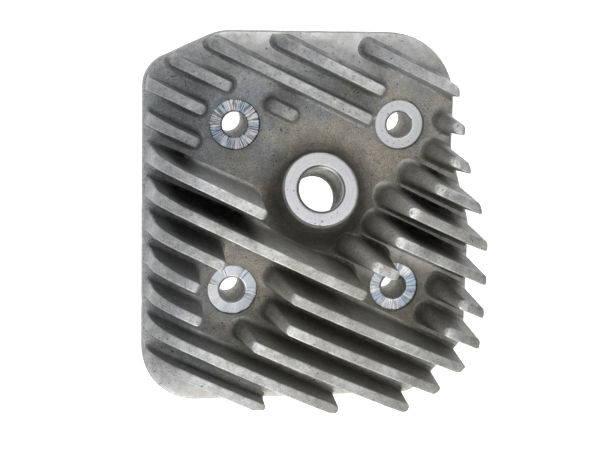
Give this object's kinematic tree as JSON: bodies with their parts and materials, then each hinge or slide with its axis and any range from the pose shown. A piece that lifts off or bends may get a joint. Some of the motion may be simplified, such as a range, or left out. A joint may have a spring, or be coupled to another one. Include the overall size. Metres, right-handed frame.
{
  "type": "cylinder head",
  "caption": "Bare air-cooled cylinder head: a plate with slanted cooling fins, a tilted spark plug boss, recessed stud seats and a domed combustion chamber below.",
  "frame": {"origin": "middle of the footprint on the gasket face plane, so the head stands on z = 0; the bore axis is at x = 2.0 mm, y = 3.2 mm", "axes": "+Z along the bore axis away from the cylinder, +Y towards the side that the spark plug leans to, +X to the right seen from outside"},
  "size_m": [0.0992, 0.1104, 0.0445],
  "materials": {
    "cast_deck": "as-cast, fine-grained, slightly stained",
    "cast_fin": "as-cast, fine-grained, worn brighter along the crests",
    "cast_boss": "as-cast, dark around the foot",
    "cast_underside": "as-cast with a turned gasket face",
    "machined_seat": "machined bright, with chatter marks"
  },
  "bodies": {
    "root": {"boss_fin": "cast_fin", "boss_rib": "cast_fin", "centre_fin": "cast_fin", "deck_plate": "cast_deck", "front_fin_1": "cast_fin", "front_fin_2": "cast_fin", "gasket_drum": "cast_underside", "left_fin_1": "cast_fin", "left_fin_2": "cast_fin", "left_fin_3": "cast_fin", "left_fin_4": "cast_fin", "left_fin_5": "cast_fin", "left_fin_6": "cast_fin", "left_fin_7": "cast_fin", "rear_fin_1": "cast_fin", "rear_fin_2": "cast_fin", "rear_fin_3": "cast_fin", "right_fin_1": "cast_fin", "right_fin_10": "cast_fin", "right_fin_2": "cast_fin", "right_fin_3": "cast_fin", "right_fin_4": "cast_fin", "right_fin_5": "cast_fin", "right_fin_6": "cast_fin", "right_fin_7": "cast_fin", "right_fin_8": "cast_fin", "right_fin_9": "cast_fin", "spark_plug_boss": "cast_boss", "stud_boss_front_left": "machined_seat", "stud_boss_front_right": "machined_seat", "stud_boss_rear_left": "machined_seat", "stud_boss_rear_right": "machined_seat"}
  },
  "joints": []
}
